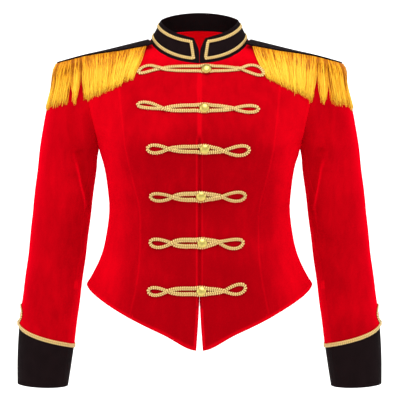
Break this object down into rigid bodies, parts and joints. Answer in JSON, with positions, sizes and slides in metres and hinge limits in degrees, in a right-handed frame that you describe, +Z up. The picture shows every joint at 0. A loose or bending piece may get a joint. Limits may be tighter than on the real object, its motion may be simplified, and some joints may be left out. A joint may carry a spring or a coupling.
{
  "type": "ringmaster jacket",
  "caption": "Fitted, hip-length show jacket, worn shape and hollow, with a stand collar, cord frogs, domed buttons, fringed shoulder straps and long sleeves with cuffs",
  "frame": {"origin": "middle of the neck opening, level with the inner ends of the shoulder straps, where the wearer holds the jacket", "axes": "+Z up, -Y the front of the jacket, +X the wearer's left"},
  "size_m": [0.6054, 0.2396, 0.6155],
  "materials": {
    "red_velvet": "soft velvet nap",
    "black_cloth": "matte woven cloth",
    "gold_braid": "braided metallic thread",
    "gold_fringe": "soft lustrous thread",
    "brass": "polished"
  },
  "bodies": {
    "root": {"back": "red_velvet", "button_1": "brass", "button_2": "brass", "button_3": "brass", "button_4": "brass", "button_5": "brass", "button_6": "brass", "collar": "black_cloth", "collar_braid": "gold_braid", "cuff_braid_left": "gold_braid", "cuff_braid_right": "gold_braid", "cuff_left": "black_cloth", "cuff_right": "black_cloth", "fringe_left": "gold_fringe", "fringe_right": "gold_fringe", "frog_1": "gold_braid", "frog_2": "gold_braid", "frog_3": "gold_braid", "frog_4": "gold_braid", "frog_5": "gold_braid", "frog_6": "gold_braid", "front_left": "red_velvet", "front_right": "red_velvet", "side_back_left": "red_velvet", "side_back_right": "red_velvet", "side_front_left": "red_velvet", "side_front_right": "red_velvet", "strap_left": "black_cloth", "strap_right": "black_cloth", "under_sleeve_left": "red_velvet", "under_sleeve_right": "red_velvet", "upper_sleeve_left": "red_velvet", "upper_sleeve_right": "red_velvet"}
  },
  "joints": []
}
